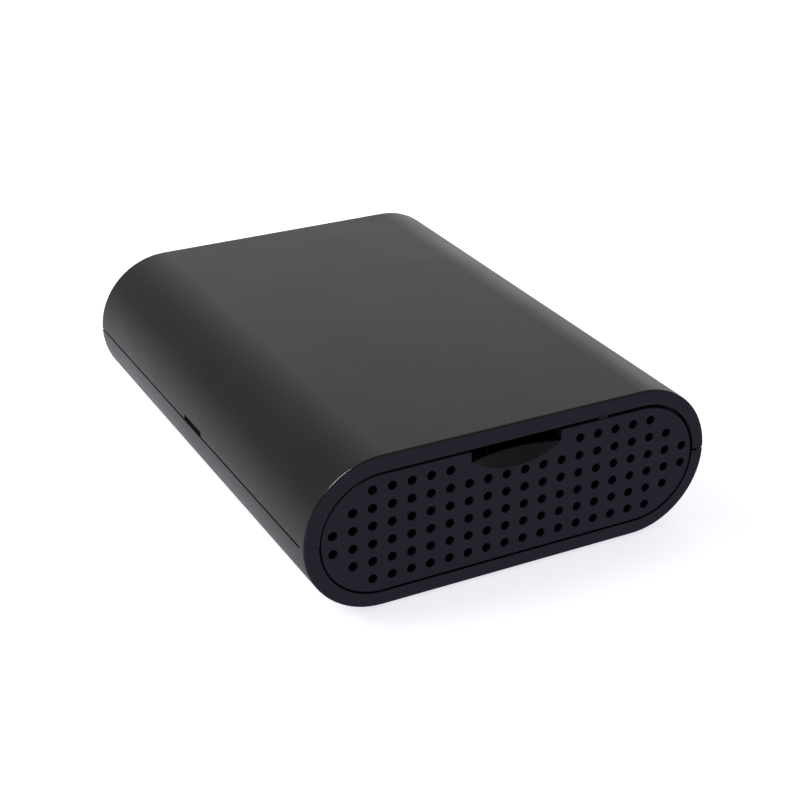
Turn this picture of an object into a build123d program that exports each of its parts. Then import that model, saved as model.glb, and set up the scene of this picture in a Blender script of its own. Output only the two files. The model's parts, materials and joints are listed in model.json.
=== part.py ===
from build123d import *
import os
from math import sqrt

# A USB logic analyzer in a stadium-section plastic case, one STEP file for each sub-part.
#
# Frame: millimetres, +Z up, origin on the table under the middle of the case. -Y is the vented front
# end and +Y the connector end. The case is two snap-fit half shells that meet at PARTING_Z, with a
# vented door hooked into the front end and a connector panel trapped in the rear end.

# ---- Case -----------------------------------------------------------------------------------
CASE_WIDTH = 82.0
CASE_LENGTH = 103.4
UPPER_RADIUS = 14.8  # round sides of the upper shell
LOWER_RADIUS = 14.8  # round sides of the lower shell
WALL = 2.3
EDGE_RADIUS = 0.4
SEAM_ABOVE = 0.2  # the open joint line runs from this far above the parting plane
SEAM_BELOW = 0.25  # to this far below it
FOOT_PROUD = 0.5  # how far the feet lift the case

FRONT_Y = -CASE_LENGTH / 2
REAR_Y = CASE_LENGTH / 2
ARC_X = CASE_WIDTH / 2 - UPPER_RADIUS  # x of the centre line of each round side
PARTING_Z = FOOT_PROUD + LOWER_RADIUS
FLOOR_Z = FOOT_PROUD + WALL
CUT = 1.0  # how far a cutting tool runs past the face it opens

# ---- End openings ----------------------------------------------------------------------------
OPENING_RADIUS = 11.9
OPENING_ARC_X = 26.43
OPENING_Z = PARTING_Z - 0.18
FRONT_SHIFT = 0.15  # the door and its opening sit a little to the right of the case's middle
UPPER_OPENING_SHIFT = 0.06  # the upper half of the opening a little further still
UPPER_OPENING_LEAN = -0.3  # degrees about Y, so the gap over the door widens to the right
LEDGE_RADIUS = 10.7
END_DEPTH = 4.0
FRONT_SEAT = 2.35  # depth of the pocket that the door sits in
REAR_LIP = 1.4
REAR_GROOVE = 1.4
REAR_GROOVE_RADIUS = 13.1

# ---- Joint between the shells -------------------------------------------------------------------
LIP_RADIUS = 13.1
LIP_HEIGHT = 1.2
REBATE_RADIUS = 13.3
REBATE_HEIGHT = 1.25
LAND_HEIGHT = 0.15  # raised lands that nearly close the joint line on the front rim
LEFT_LAND_X = (-41.0, -37.9)
RIGHT_LAND_X = (39.6, 40.4)
LAND_DEPTH = 1.8
PRY_Y = -1.1
PRY_LENGTH = 8.5
PRY_HEIGHT = 0.9
SNAP_Y = 24.0
SNAP_WIDTH = 8.0
SNAP_X = 36.2
SNAP_THICKNESS = 1.0
SNAP_REACH = 4.0
BEAD_RADIUS = 0.4
CATCH_X = 37.95

# ---- Front door -------------------------------------------------------------------------------
DOOR_RADIUS = 11.45
DOOR_ARC_X = 26.5
DOOR_THICKNESS = 2.2
DOOR_EDGE = 0.2
DOOR_Z = OPENING_Z - 0.08  # the door rests low in its opening
DOOR_FACE_Y = FRONT_Y
HINGE_Z = DOOR_Z - DOOR_RADIUS  # the door tilts about its lower front edge
VENT_COLUMNS = 20
VENT_ROWS = 6
VENT_PITCH_X = 3.766
VENT_PITCH_Z = 3.5
VENT_DIAMETER = 1.8
VENT_EDGE = 1.48  # band left solid round the door
VENT_Z = OPENING_Z  # the pattern is centred on the opening
NOTCH_HALF = 9.15
NOTCH_DEPTH = 2.2
SCOOP_RADIUS = 28.5
SCOOP_CENTRE_Y = -23.5  # from the door's face
SCOOP_CENTRE_Z = 22.5  # from the middle of the vents
HOOK_X = 17.6
HOOK_WIDTH = 5.0
HOOK_BACK = 3.4
HOOK_GAP = 2.4
HOOK_DROP = 1.3
HOOK_RISE = 3.2
NIB_X = 17.95
NIB_WIDTH = 1.8
NIB_HEIGHT = 0.48
NIB_DEPTH = 1.0

# ---- Circuit board ------------------------------------------------------------------------------
BOARD_WIDTH = 70.0
BOARD_FRONT_Y = -44.0
BOARD_REAR_Y = 47.3
BOARD_THICKNESS = 1.6
BOARD_UNDER_Z = FOOT_PROUD + 8.0
BOARD_TOP_Z = BOARD_UNDER_Z + BOARD_THICKNESS
SCREW_X = 29.5
SCREW_Y = 38.0
PIN_SIDE = 0.64
PIN_PITCH = 2.54
DRILL_DIAMETER = 1.0

# ---- Rear connectors -----------------------------------------------------------------------------
CONNECTOR_FACE_Y = REAR_Y - 0.3
USB_X = 20.5
USB_WIDTH = 12.0
USB_HEIGHT = 11.0
USB_DEPTH = 16.0
USB_SHEET = 0.35
PROBE_X = -12.0
PROBE_WIDTH = 33.3
PROBE_HEIGHT = 9.0
PROBE_DEPTH = 9.0
PROBE_COLUMNS = 10
PROBE_Z = BOARD_TOP_Z + 0.2 + PROBE_HEIGHT / 2
PROBE_WALL = 1.2
PIPE_X = (7.2, 11.0)
PIPE_Z = BOARD_TOP_Z + 4.0
PIPE_DIAMETER = 2.5
PANEL_CLEARANCE = 0.2

# ---- Chips: middle x, y and size in x, y, z --------------------------------------------------------
FPGA = (0.0, 2.0, 17.0, 17.0, 1.9)
MEMORY = [(-21.0, 9.5, 9.0, 13.0, 1.1), (-21.0, -5.5, 9.0, 13.0, 1.1)]
USB_CONTROLLER = (22.0, 24.0, 9.0, 9.0, 0.9)
FLASH = (22.0, 9.0, 3.9, 4.9, 1.5)
OSCILLATOR = (13.0, 20.5, 5.0, 3.2, 1.2)
REGULATORS = [(12.5, -19.0, 5.0, 5.0, 0.9), (12.5, -29.0, 5.0, 5.0, 0.9)]
BUFFER_X = (-26.0, -17.0, -8.0, 1.0)
BUFFER_Y = 28.0
HEAT_SINK_SIDE = 25.0
HEAT_SINK_BASE = 2.0
HEAT_SINK_HEIGHT = 9.0
FIN_COUNT = 9
FIN_THICKNESS = 1.1
PAD_THICKNESS = 0.5


def block(x, y, z):
    """A box from (low, high) pairs."""
    size = [high - low for low, high in (x, y, z)]
    middle = [(high + low) / 2 for low, high in (x, y, z)]
    return Pos(*middle) * Box(*size)


def slot_bar(radius, y_from, y_to, middle_z=PARTING_Z, arc_x=ARC_X):
    """A bar of stadium section along Y."""
    plane = Plane(origin=(0, y_from, middle_z), x_dir=(1, 0, 0), z_dir=(0, 1, 0))
    return extrude(plane * SlotOverall(2 * (arc_x + radius), 2 * radius), amount=y_to - y_from)


def opening_bar(radius, y_from, y_to):
    """A bar of stadium section that is centred on the end openings."""
    return slot_bar(radius, y_from, y_to, OPENING_Z, OPENING_ARC_X)


def edges_at(shape, axis, position):
    """The edges that lie at one position along an axis."""
    return shape.edges().filter_by_position(axis, position - 0.001, position + 0.001)


def rod(diameter, z_from, z_to, x=0.0, y=0.0):
    """A round bar along Z."""
    return Pos(x, y, (z_from + z_to) / 2) * Cylinder(diameter / 2, z_to - z_from)


def rod_y(diameter, y_from, y_to, x, z):
    """A round bar along Y."""
    return Pos(x, (y_from + y_to) / 2, z) * Rot(90, 0, 0) * Cylinder(diameter / 2, y_to - y_from)


def corners(x, y):
    """The four corners of a rectangle about the origin."""
    return [(x * side, y * end) for side in (-1, 1) for end in (-1, 1)]


def group(solids):
    """Several separate solids as one sub-part."""
    return Compound(children=[solid for shape in solids for solid in shape.solids()])


def one(shape):
    """The single solid that a sub-part is made of."""
    found = shape.solids()
    if len(found) != 1:
        raise ValueError(f"expected one solid and made {len(found)}")
    return found[0]


# ---- Shells ---------------------------------------------------------------------------------------
def shell_blank(radius):
    """The outside of the case as a full stadium bar with eased ends."""
    bar = slot_bar(radius, FRONT_Y, REAR_Y)
    rims = edges_at(bar, Axis.Y, FRONT_Y)
    rims += edges_at(bar, Axis.Y, REAR_Y)
    return fillet(rims, EDGE_RADIUS)


def door_seat(shift=0.0, lean=0.0):
    """The pocket that the door sits in, moved along X and turned about Y through its middle."""
    bar = slot_bar(OPENING_RADIUS, FRONT_Y - CUT, FRONT_Y + FRONT_SEAT, 0.0, OPENING_ARC_X)
    return Pos(FRONT_SHIFT + shift, 0, OPENING_Z) * Rot(0, lean, 0) * bar


def hollow(blank, radius, seat):
    """The shell's inside, between the two end frames, and what both ends have cut out."""
    tools = [
        slot_bar(radius - WALL, FRONT_Y + END_DEPTH, REAR_Y - END_DEPTH),
        opening_bar(LEDGE_RADIUS, FRONT_Y - CUT, REAR_Y + CUT),
        opening_bar(OPENING_RADIUS, REAR_Y - REAR_LIP, REAR_Y + CUT),
        opening_bar(REAR_GROOVE_RADIUS, REAR_Y - REAR_LIP - REAR_GROOVE, REAR_Y - REAR_LIP),
        seat,
    ]
    shape = blank
    for tool in tools:
        shape -= tool
    return shape


def slab(z_from, z_to):
    """A layer wider and longer than the case."""
    return block((-CASE_WIDTH, CASE_WIDTH), (-CASE_LENGTH, CASE_LENGTH), (z_from, z_to))


def pry_slot(extra=0.0):
    """Screwdriver slot in the left side, half way along."""
    y = (PRY_Y - PRY_LENGTH / 2 - extra, PRY_Y + PRY_LENGTH / 2 + extra)
    return block((-CASE_WIDTH / 2 - CUT, -SNAP_X), y, (PARTING_Z - SEAM_BELOW, PARTING_Z + SEAM_ABOVE + PRY_HEIGHT))


def snap_tab(side, y):
    """A tab that hangs from the upper shell inside the lower one, with a bead that clicks in."""
    tab_y = (y - SNAP_WIDTH / 2, y + SNAP_WIDTH / 2)
    outer = SNAP_X + SNAP_THICKNESS
    tab = block((SNAP_X, outer), tab_y, (PARTING_Z - SNAP_REACH, PARTING_Z + SNAP_REACH))
    root = block((SNAP_X, UPPER_RADIUS + ARC_X - WALL + 0.3), tab_y, (PARTING_Z + 1.6, PARTING_Z + SNAP_REACH))
    bead = rod_y(2 * BEAD_RADIUS, *tab_y, outer, PARTING_Z - SNAP_REACH + 1.0)
    tab = tab + root + bead
    return tab if side > 0 else mirror(tab, about=Plane.YZ)


def snap_catch(side, y):
    """The ledge in the lower shell that a bead clicks under."""
    wall_x = ARC_X + LOWER_RADIUS - WALL + 0.8
    catch = block((CATCH_X, wall_x), (y - SNAP_WIDTH / 2, y + SNAP_WIDTH / 2), (PARTING_Z - 2.2, PARTING_Z - 1.2))
    return catch if side > 0 else mirror(catch, about=Plane.YZ)


def upper_shell():
    seat = door_seat(UPPER_OPENING_SHIFT, UPPER_OPENING_LEAN)
    shape = hollow(shell_blank(UPPER_RADIUS), UPPER_RADIUS, seat)
    shape &= slab(PARTING_Z + SEAM_ABOVE, PARTING_Z + 2 * UPPER_RADIUS)
    inside = (FRONT_Y + END_DEPTH, REAR_Y - END_DEPTH)
    shape -= slot_bar(REBATE_RADIUS, *inside) & slab(PARTING_Z, PARTING_Z + REBATE_HEIGHT)
    shape -= pry_slot()
    for side in (-1, 1):
        for y in (-SNAP_Y, SNAP_Y):
            shape += snap_tab(side, y)
    ceiling = PARTING_Z + UPPER_RADIUS - WALL / 2
    post_bottom = BOARD_TOP_Z + 2.4
    for x, y in corners(SCREW_X, SCREW_Y):
        shape += rod(5.0, post_bottom, PARTING_Z + UPPER_RADIUS - 1.75, x, y)
    for y in (-SNAP_Y, 0.0, SNAP_Y):
        shape += block((-SCREW_X + 4, SCREW_X - 4), (y - 0.6, y + 0.6), (ceiling - 2.6, ceiling))
    return one(shape)


def lower_shell():
    half = hollow(shell_blank(LOWER_RADIUS), LOWER_RADIUS, door_seat())
    shape = half & slab(0, PARTING_Z - SEAM_BELOW)
    for x in (LEFT_LAND_X, RIGHT_LAND_X):
        shape += half & block(x, (FRONT_Y, FRONT_Y + LAND_DEPTH), (PARTING_Z - 0.5, PARTING_Z + LAND_HEIGHT))
    inside = (FRONT_Y + END_DEPTH + 0.2, REAR_Y - END_DEPTH - 0.2)
    lip = slot_bar(LIP_RADIUS, *inside) - slot_bar(LOWER_RADIUS - WALL, *inside)
    shape += lip & slab(PARTING_Z - 0.5, PARTING_Z + LIP_HEIGHT)
    shape -= pry_slot(extra=0.3)
    for side in (-1, 1):
        for y in (-SNAP_Y, SNAP_Y):
            shape += snap_catch(side, y)
    for x, y in corners(SCREW_X, SCREW_Y):
        shape += rod(6.0, FOOT_PROUD + 1.8, BOARD_UNDER_Z, x, y)
        shape -= rod(2.1, BOARD_UNDER_Z - 6.0, BOARD_UNDER_Z + CUT, x, y)
    for x in (-14.0, 14.0):
        shape += block((x - 0.6, x + 0.6), (-40, 40), (FLOOR_Z - 0.3, FLOOR_Z + 2.5))
    for x, y in corners(FOOT_X, FOOT_Y):
        shape -= rod(FOOT_DIAMETER + 0.4, 0, FOOT_PROUD + FOOT_SUNK, x, y)
    for x in (FRONT_SHIFT - HOOK_X, FRONT_SHIFT + HOOK_X):
        shape -= block(
            (x - HOOK_WIDTH / 2 - 0.4, x + HOOK_WIDTH / 2 + 0.4),
            (FRONT_Y + FRONT_SEAT, FRONT_Y + FRONT_SEAT + 2.8),
            (HINGE_Z - HOOK_DROP - 0.3, HINGE_Z + 1.5),
        )
    return one(shape)


# ---- Feet -------------------------------------------------------------------------------------------
FOOT_DIAMETER = 8.0
FOOT_SUNK = 0.6
FOOT_X = 20.0
FOOT_Y = 40.0


def rubber_feet():
    """Four stick-on feet, half sunk in round recesses."""
    foot = rod(FOOT_DIAMETER, 0, FOOT_PROUD + FOOT_SUNK)
    foot = fillet(edges_at(foot, Axis.Z, 0), 0.4)
    return group([Pos(x, y, 0) * foot for x, y in corners(FOOT_X, FOOT_Y)])


# ---- Front door -------------------------------------------------------------------------------------
def vent_centres():
    """Middle of each vent hole, from the pattern's middle. The finger notch takes the top row's place."""
    found = []
    for column in range(VENT_COLUMNS):
        for row in range(VENT_ROWS):
            x = (column - (VENT_COLUMNS - 1) / 2) * VENT_PITCH_X
            z = ((VENT_ROWS - 1) / 2 - row) * VENT_PITCH_Z
            beyond = max(0.0, abs(x) - OPENING_ARC_X)
            inside = sqrt(beyond**2 + z**2) < DOOR_RADIUS - VENT_EDGE
            under_notch = row == 0 and abs(x) < NOTCH_HALF + VENT_DIAMETER / 2
            if inside and not under_notch:
                found.append((x, z))
    return found


def vents():
    """All the vent holes as one cutting tool."""
    plane = Plane(origin=(0, DOOR_FACE_Y - CUT, VENT_Z), x_dir=(-1, 0, 0), z_dir=(0, 1, 0))
    discs = Sketch() + [Pos(-x, z) * Circle(VENT_DIAMETER / 2) for x, z in vent_centres()]
    return extrude(plane * discs, amount=DOOR_THICKNESS + 2 * CUT)


def hinge_hook(x):
    """A hook on the door's back that reaches down behind the lower shell's front lip."""
    span = (x - HOOK_WIDTH / 2, x + HOOK_WIDTH / 2)
    root = block(
        span,
        (DOOR_FACE_Y + DOOR_THICKNESS - 0.3, DOOR_FACE_Y + HOOK_BACK),
        (HINGE_Z, HINGE_Z + HOOK_RISE),
    )
    claw = block(
        span,
        (DOOR_FACE_Y + HOOK_GAP, DOOR_FACE_Y + HOOK_BACK),
        (HINGE_Z - HOOK_DROP, HINGE_Z + 0.1),
    )
    return root + claw


def front_door():
    back_y = DOOR_FACE_Y + DOOR_THICKNESS
    plate = slot_bar(DOOR_RADIUS, DOOR_FACE_Y, back_y, DOOR_Z, DOOR_ARC_X)
    plate = fillet(edges_at(plate, Axis.Y, DOOR_FACE_Y), DOOR_EDGE)
    top_z = DOOR_Z + DOOR_RADIUS
    notch_z = top_z - NOTCH_DEPTH
    depth = (DOOR_FACE_Y - CUT, back_y + CUT)
    plate -= block((-NOTCH_HALF, NOTCH_HALF), depth, (notch_z, top_z + CUT))
    ball = Pos(0, DOOR_FACE_Y + SCOOP_CENTRE_Y, VENT_Z + SCOOP_CENTRE_Z) * Sphere(SCOOP_RADIUS)
    plate -= ball & block((-2 * NOTCH_HALF, 2 * NOTCH_HALF), depth, (DOOR_Z, notch_z))
    plate -= vents()
    plate += block(
        (NIB_X - NIB_WIDTH / 2, NIB_X + NIB_WIDTH / 2),
        (DOOR_FACE_Y + DOOR_EDGE, DOOR_FACE_Y + DOOR_EDGE + NIB_DEPTH),
        (top_z - 0.5, top_z + NIB_HEIGHT),
    )
    for x in (-HOOK_X, HOOK_X):
        plate += hinge_hook(x)
    return Pos(FRONT_SHIFT, 0, 0) * one(plate)


# ---- Rear panel -------------------------------------------------------------------------------------
def rear_panel():
    """A panel with a flange trapped in the groove of both shells, cut out for the connectors."""
    face = opening_bar(OPENING_RADIUS - 0.15, REAR_Y - 2.0, REAR_Y - 0.1)
    flange_y = (REAR_Y - REAR_LIP - REAR_GROOVE + 0.1, REAR_Y - REAR_LIP - 0.1)
    panel = face + opening_bar(REAR_GROOVE_RADIUS - 0.2, *flange_y)
    depth = (REAR_Y - 5.0, REAR_Y + CUT)
    gap = PANEL_CLEARANCE
    usb_x = (USB_X - USB_WIDTH / 2 - gap, USB_X + USB_WIDTH / 2 + gap)
    panel -= block(usb_x, depth, (BOARD_TOP_Z - gap, BOARD_TOP_Z + USB_HEIGHT + gap))
    probe_x = (PROBE_X - PROBE_WIDTH / 2 - gap, PROBE_X + PROBE_WIDTH / 2 + gap)
    probe_z = (PROBE_Z - PROBE_HEIGHT / 2 - gap, PROBE_Z + PROBE_HEIGHT / 2 + gap)
    panel -= block(probe_x, depth, probe_z)
    for x in PIPE_X:
        panel -= rod_y(PIPE_DIAMETER + 0.2, *depth, x, PIPE_Z)
    return one(panel)


# ---- Circuit board ----------------------------------------------------------------------------------
def probe_pin_places():
    """x of each column and the y where each of the two rows turns down into the board."""
    first = PROBE_X - PIN_PITCH * (PROBE_COLUMNS - 1) / 2
    columns = [first + PIN_PITCH * i for i in range(PROBE_COLUMNS)]
    rows = (CONNECTOR_FACE_Y - PROBE_DEPTH - 1.5, CONNECTOR_FACE_Y - PROBE_DEPTH - 1.5 - PIN_PITCH)
    return columns, rows


SERVICE_PINS = 6
SERVICE_X = -18.0
SERVICE_Y = -33.0


def service_pin_places():
    first = SERVICE_X - PIN_PITCH * (SERVICE_PINS - 1) / 2
    return [(first + PIN_PITCH * i, SERVICE_Y) for i in range(SERVICE_PINS)]


def usb_pin_places():
    back_y = CONNECTOR_FACE_Y - USB_DEPTH
    return [(USB_X + dx, back_y + dy) for dx in (-1.25, 1.25) for dy in (2.0, 4.0)]


def main_board():
    board = block(
        (-BOARD_WIDTH / 2, BOARD_WIDTH / 2),
        (BOARD_FRONT_Y, BOARD_REAR_Y),
        (BOARD_UNDER_Z, BOARD_TOP_Z),
    )
    board = fillet(board.edges().filter_by(Axis.Z), 2.0)
    through = (BOARD_UNDER_Z - CUT, BOARD_TOP_Z + CUT)
    for x, y in corners(SCREW_X, SCREW_Y):
        board -= rod(2.8, *through, x, y)
    columns, rows = probe_pin_places()
    drilled = [(x, y) for x in columns for y in rows] + service_pin_places() + usb_pin_places()
    for x, y in drilled:
        board -= rod(DRILL_DIAMETER, *through, x, y)
    return one(board)


def board_screws():
    """Four pan-head screws that cut their own thread in the lower shell's bosses."""
    shank = rod(2.0, BOARD_TOP_Z - 6.5, BOARD_TOP_Z)
    head = rod(4.8, BOARD_TOP_Z, BOARD_TOP_Z + 1.7)
    head = fillet(edges_at(head, Axis.Z, BOARD_TOP_Z + 1.7), 0.8)
    for length, width in ((2.6, 0.6), (0.6, 2.6)):
        drive = Pos(0, 0, BOARD_TOP_Z + 1.7) * Box(length, width, 2.0)
        head -= drive
    screw = head + shank
    return group([Pos(x, y, 0) * screw for x, y in corners(SCREW_X, SCREW_Y)])


def chip(x, y, width, length, height, base_z=BOARD_TOP_Z, edge=0.12):
    """A moulded package that sits on the board."""
    body = Pos(x, y, base_z + height / 2) * Box(width, length, height)
    return chamfer(edges_at(body, Axis.Z, base_z + height), edge)


def leaded_chip(x, y, width, length, height, leads, along_x, reach=1.0):
    """A package with gull-wing leads on two opposite sides, one solid."""
    stand_off = 0.1
    body = chip(x, y, width, length, height - stand_off, BOARD_TOP_Z + stand_off)
    span = (width if along_x else length) - 1.0
    for i in range(leads):
        along = -span / 2 + span * i / (leads - 1)
        for side in (-1, 1):
            across = side * ((length if along_x else width) / 2 + reach / 2 - 0.2)
            shoulder = side * ((length if along_x else width) / 2 + 0.1)
            lead = Pos(0, 0, 0.1) * Box(0.25, reach + 0.4, 0.2)
            knee = Pos(0, 0, height / 3) * Box(0.25, 0.4, height * 2 / 3)
            if along_x:
                body += Pos(x + along, y + across, BOARD_TOP_Z) * lead
                body += Pos(x + along, y + shoulder, BOARD_TOP_Z) * knee
            else:
                body += Pos(x + across, y + along, BOARD_TOP_Z) * Rot(0, 0, 90) * lead
                body += Pos(x + shoulder, y + along, BOARD_TOP_Z) * Rot(0, 0, 90) * knee
    return one(body)


def fpga_chip():
    x, y, width, length, height = FPGA
    substrate = Pos(x, y, BOARD_TOP_Z + 0.4) * Box(width, length, 0.8)
    cap = chip(x, y, width - 2.0, length - 2.0, height - 0.8, BOARD_TOP_Z + 0.8, 0.3)
    return one(substrate + cap)


def thermal_pad():
    x, y, width, length, height = FPGA
    base = BOARD_TOP_Z + height
    return Pos(x, y, base + PAD_THICKNESS / 2) * Box(width - 3.0, length - 3.0, PAD_THICKNESS)


def heat_sink():
    """A finned block on the main chip."""
    x, y = FPGA[:2]
    base = BOARD_TOP_Z + FPGA[4] + PAD_THICKNESS
    half = HEAT_SINK_SIDE / 2
    sink = block((x - half, x + half), (y - half, y + half), (base, base + HEAT_SINK_BASE))
    pitch = (HEAT_SINK_SIDE - FIN_THICKNESS) / (FIN_COUNT - 1)
    for i in range(FIN_COUNT):
        fin_x = x - half + FIN_THICKNESS / 2 + i * pitch
        sink += block(
            (fin_x - FIN_THICKNESS / 2, fin_x + FIN_THICKNESS / 2),
            (y - half, y + half),
            (base, base + HEAT_SINK_HEIGHT),
        )
    for across in (-1, 0, 1):
        slot_y = y + across * HEAT_SINK_SIDE / 3.2
        sink -= block(
            (x - half - CUT, x + half + CUT),
            (slot_y - 0.9, slot_y + 0.9),
            (base + HEAT_SINK_BASE, base + HEAT_SINK_HEIGHT + CUT),
        )
    return one(sink)


def inductor(x, y):
    """A shielded power inductor."""
    body = Pos(x, y, BOARD_TOP_Z + 1.5) * Box(6.0, 6.0, 3.0)
    body = chamfer(body.edges().filter_by(Axis.Z), 0.9)
    body = chamfer(edges_at(body, Axis.Z, BOARD_TOP_Z + 3.0), 0.25)
    return body - rod(3.4, BOARD_TOP_Z + 2.85, BOARD_TOP_Z + 4.0, x, y)


def decoupling_places():
    """Where the small capacitors stand round the main chip and beside the memory."""
    x, y = FPGA[:2]
    ring = [(x + dx, y + side * 14.6) for dx in (-9.0, -5.4, -1.8, 1.8, 5.4, 9.0) for side in (-1, 1)]
    memory = [(-21.0 + dx, 2.0) for dx in (-3.0, 0.0, 3.0)]
    return ring + memory + [(22.0, 15.0), (18.4, 15.0), (25.6, 15.0)]


def status_leds():
    return group([chip(x, PIPE_LEG_Y, 1.6, 0.8, 0.6, edge=0.08) for x in PIPE_X])


PIPE_LEG_Y = 46.0


def light_pipes():
    """Clear pipes that carry the status lights from the board to the rear panel."""
    pipes = []
    for x in PIPE_X:
        foot_z = BOARD_TOP_Z + 0.9
        half = PIPE_DIAMETER / 2
        leg = block((x - half, x + half), (PIPE_LEG_Y - half, PIPE_LEG_Y + half), (foot_z, PIPE_Z + half))
        leg = chamfer(leg.edges().filter_by(Axis.X).group_by(Axis.Z)[-1].group_by(Axis.Y)[0], 1.2)
        arm = rod_y(PIPE_DIAMETER, PIPE_LEG_Y, REAR_Y - 0.4, x, PIPE_Z)
        arm = fillet(edges_at(arm, Axis.Y, REAR_Y - 0.4), 0.6)
        pipes.append(leg + arm)
    return group(pipes)


# ---- Rear connectors ----------------------------------------------------------------------------------
def usb_block(grow, y_from, y_to):
    """The receptacle's outline, grown or shrunk all round except underneath."""
    return block(
        (USB_X - USB_WIDTH / 2 - grow, USB_X + USB_WIDTH / 2 + grow),
        (y_from, y_to),
        (BOARD_TOP_Z, BOARD_TOP_Z + USB_HEIGHT + grow),
    )


def usb_port_shell():
    """Folded metal shell round the receptacle, open underneath and at the mouth."""
    back_y = CONNECTOR_FACE_Y - USB_DEPTH
    shape = usb_block(0, back_y, CONNECTOR_FACE_Y)
    return one(shape - usb_block(-USB_SHEET, back_y + USB_SHEET, CONNECTOR_FACE_Y + CUT))


def usb_port_core():
    """Plastic body with the mouth and the tongue inside it."""
    back_y = CONNECTOR_FACE_Y - USB_DEPTH + USB_SHEET
    core = usb_block(-USB_SHEET, back_y, CONNECTOR_FACE_Y - 0.2)
    middle_z = BOARD_TOP_Z + USB_HEIGHT / 2
    mouth = block(
        (USB_X - 4.25, USB_X + 4.25),
        (CONNECTOR_FACE_Y - 9.5, CONNECTOR_FACE_Y + CUT),
        (middle_z - 3.9, middle_z + 3.9),
    )
    top = mouth.edges().filter_by(Axis.Y).group_by(Axis.Z)[-1]
    mouth = chamfer(top, 1.7)
    tongue = block(
        (USB_X - 2.8, USB_X + 2.8),
        (CONNECTOR_FACE_Y - 9.6, CONNECTOR_FACE_Y - 1.0),
        (middle_z - 1.6, middle_z + 1.6),
    )
    core = core - mouth + tongue
    for x, y in usb_pin_places():
        core -= rod(DRILL_DIAMETER, BOARD_TOP_Z - CUT, BOARD_TOP_Z + 2.0, x, y)
    return one(core)


def usb_port_contacts():
    """Four spring contacts on the tongue and the four tails through the board."""
    middle_z = BOARD_TOP_Z + USB_HEIGHT / 2
    pieces = []
    for dx in (-1.25, 1.25):
        for side in (-1, 1):
            z = middle_z + side * 1.7
            strip_y = (CONNECTOR_FACE_Y - 8.5, CONNECTOR_FACE_Y - 1.6)
            pieces.append(block((USB_X + dx - 0.5, USB_X + dx + 0.5), strip_y, (z - 0.1, z + 0.1)))
    for x, y in usb_pin_places():
        pieces.append(Pos(x, y, BOARD_TOP_Z - 0.55) * Box(0.5, 0.5, 4.5))
    return group(pieces)


def probe_header_housing():
    """Shrouded socket for the probe leads, with the keying gap in its top wall."""
    x = (PROBE_X - PROBE_WIDTH / 2, PROBE_X + PROBE_WIDTH / 2)
    y = (CONNECTOR_FACE_Y - PROBE_DEPTH, CONNECTOR_FACE_Y)
    z = (PROBE_Z - PROBE_HEIGHT / 2, PROBE_Z + PROBE_HEIGHT / 2)
    housing = block(x, y, z)
    housing -= block(
        (x[0] + PROBE_WALL, x[1] - PROBE_WALL),
        (y[0] + 2.5, y[1] + CUT),
        (z[0] + PROBE_WALL, z[1] - PROBE_WALL),
    )
    housing -= block((PROBE_X - 2.25, PROBE_X + 2.25), (y[0] + 2.5, y[1] + CUT), (PROBE_Z, z[1] + CUT))
    columns, _ = probe_pin_places()
    for pin_x in columns:
        for row in (-1, 1):
            hole_z = PROBE_Z + row * PIN_PITCH / 2
            housing -= Pos(pin_x, y[0] + 1.25, hole_z) * Box(PIN_SIDE + 0.04, 4.0, PIN_SIDE + 0.04)
    return one(housing)


def probe_header_pins():
    """Twenty bent square pins: sixteen channels and four grounds."""
    columns, rows = probe_pin_places()
    tip_y = CONNECTOR_FACE_Y - 1.2
    half = PIN_SIDE / 2
    pins = []
    for x in columns:
        for turn_y, side in zip(rows, (-1, 1)):
            z = PROBE_Z + side * PIN_PITCH / 2
            arm = block((x - half, x + half), (turn_y - half, tip_y), (z - half, z + half))
            tip = arm.faces().sort_by(Axis.Y)[-1].edges()
            arm = chamfer(tip, 0.2)
            leg = block((x - half, x + half), (turn_y - half, turn_y + half), (BOARD_UNDER_Z - 1.4, z + half))
            pins.append(arm + leg)
    return group(pins)


def service_header_base():
    """Strip that holds the programming pins upright."""
    length = PIN_PITCH * SERVICE_PINS
    strip = Pos(SERVICE_X, SERVICE_Y, BOARD_TOP_Z + 1.27) * Box(length, PIN_PITCH, PIN_PITCH)
    strip = chamfer(strip.edges().filter_by(Axis.Z), 0.4)
    for x, y in service_pin_places():
        strip -= Pos(x, y, BOARD_TOP_Z + 1.27) * Box(PIN_SIDE + 0.04, PIN_SIDE + 0.04, 4.0)
    return one(strip)


def service_header_pins():
    pins = []
    for x, y in service_pin_places():
        pin = Pos(x, y, BOARD_TOP_Z + 2.8) * Box(PIN_SIDE, PIN_SIDE, 11.6)
        pins.append(chamfer(pin.faces().sort_by(Axis.Z)[-1].edges(), 0.2))
    return group(pins)


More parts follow.
